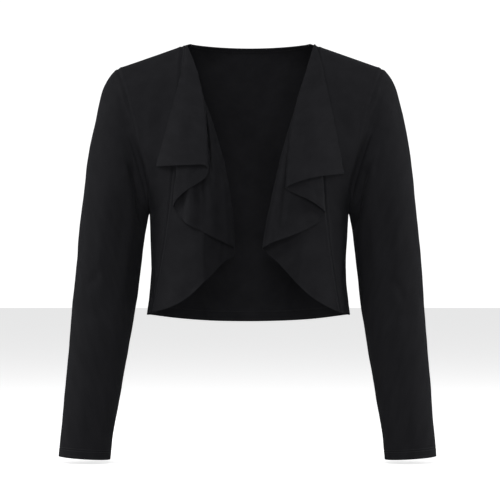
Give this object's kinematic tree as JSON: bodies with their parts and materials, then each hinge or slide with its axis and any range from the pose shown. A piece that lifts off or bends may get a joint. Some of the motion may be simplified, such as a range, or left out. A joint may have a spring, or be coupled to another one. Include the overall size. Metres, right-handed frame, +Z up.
{
  "type": "knitted shrug",
  "caption": "Cropped long-sleeved jersey shrug with waterfall fronts that fold over themselves and stay open.",
  "frame": {"origin": "between the wearer's shoulders: on the centre line, level with the middle of the shoulder seams and 8 mm in front of their line", "axes": "+Z up the body, -Y towards the front opening, +X towards the right-hand sleeve as seen from the front"},
  "size_m": [0.5638, 0.2279, 0.6225],
  "materials": {
    "jersey": "fine black knit jersey, matt, with a faint sheen where it turns away",
    "jersey_inside": "wrong side of the fine black knit jersey, matt"
  },
  "bodies": {
    "root": {"back_panel": "jersey", "back_neck_band": "jersey_inside", "side_front_left": "jersey", "side_front_right": "jersey", "drape_front_left": "jersey", "drape_front_right": "jersey", "sleeve_left": "jersey", "sleeve_right": "jersey"}
  },
  "joints": []
}
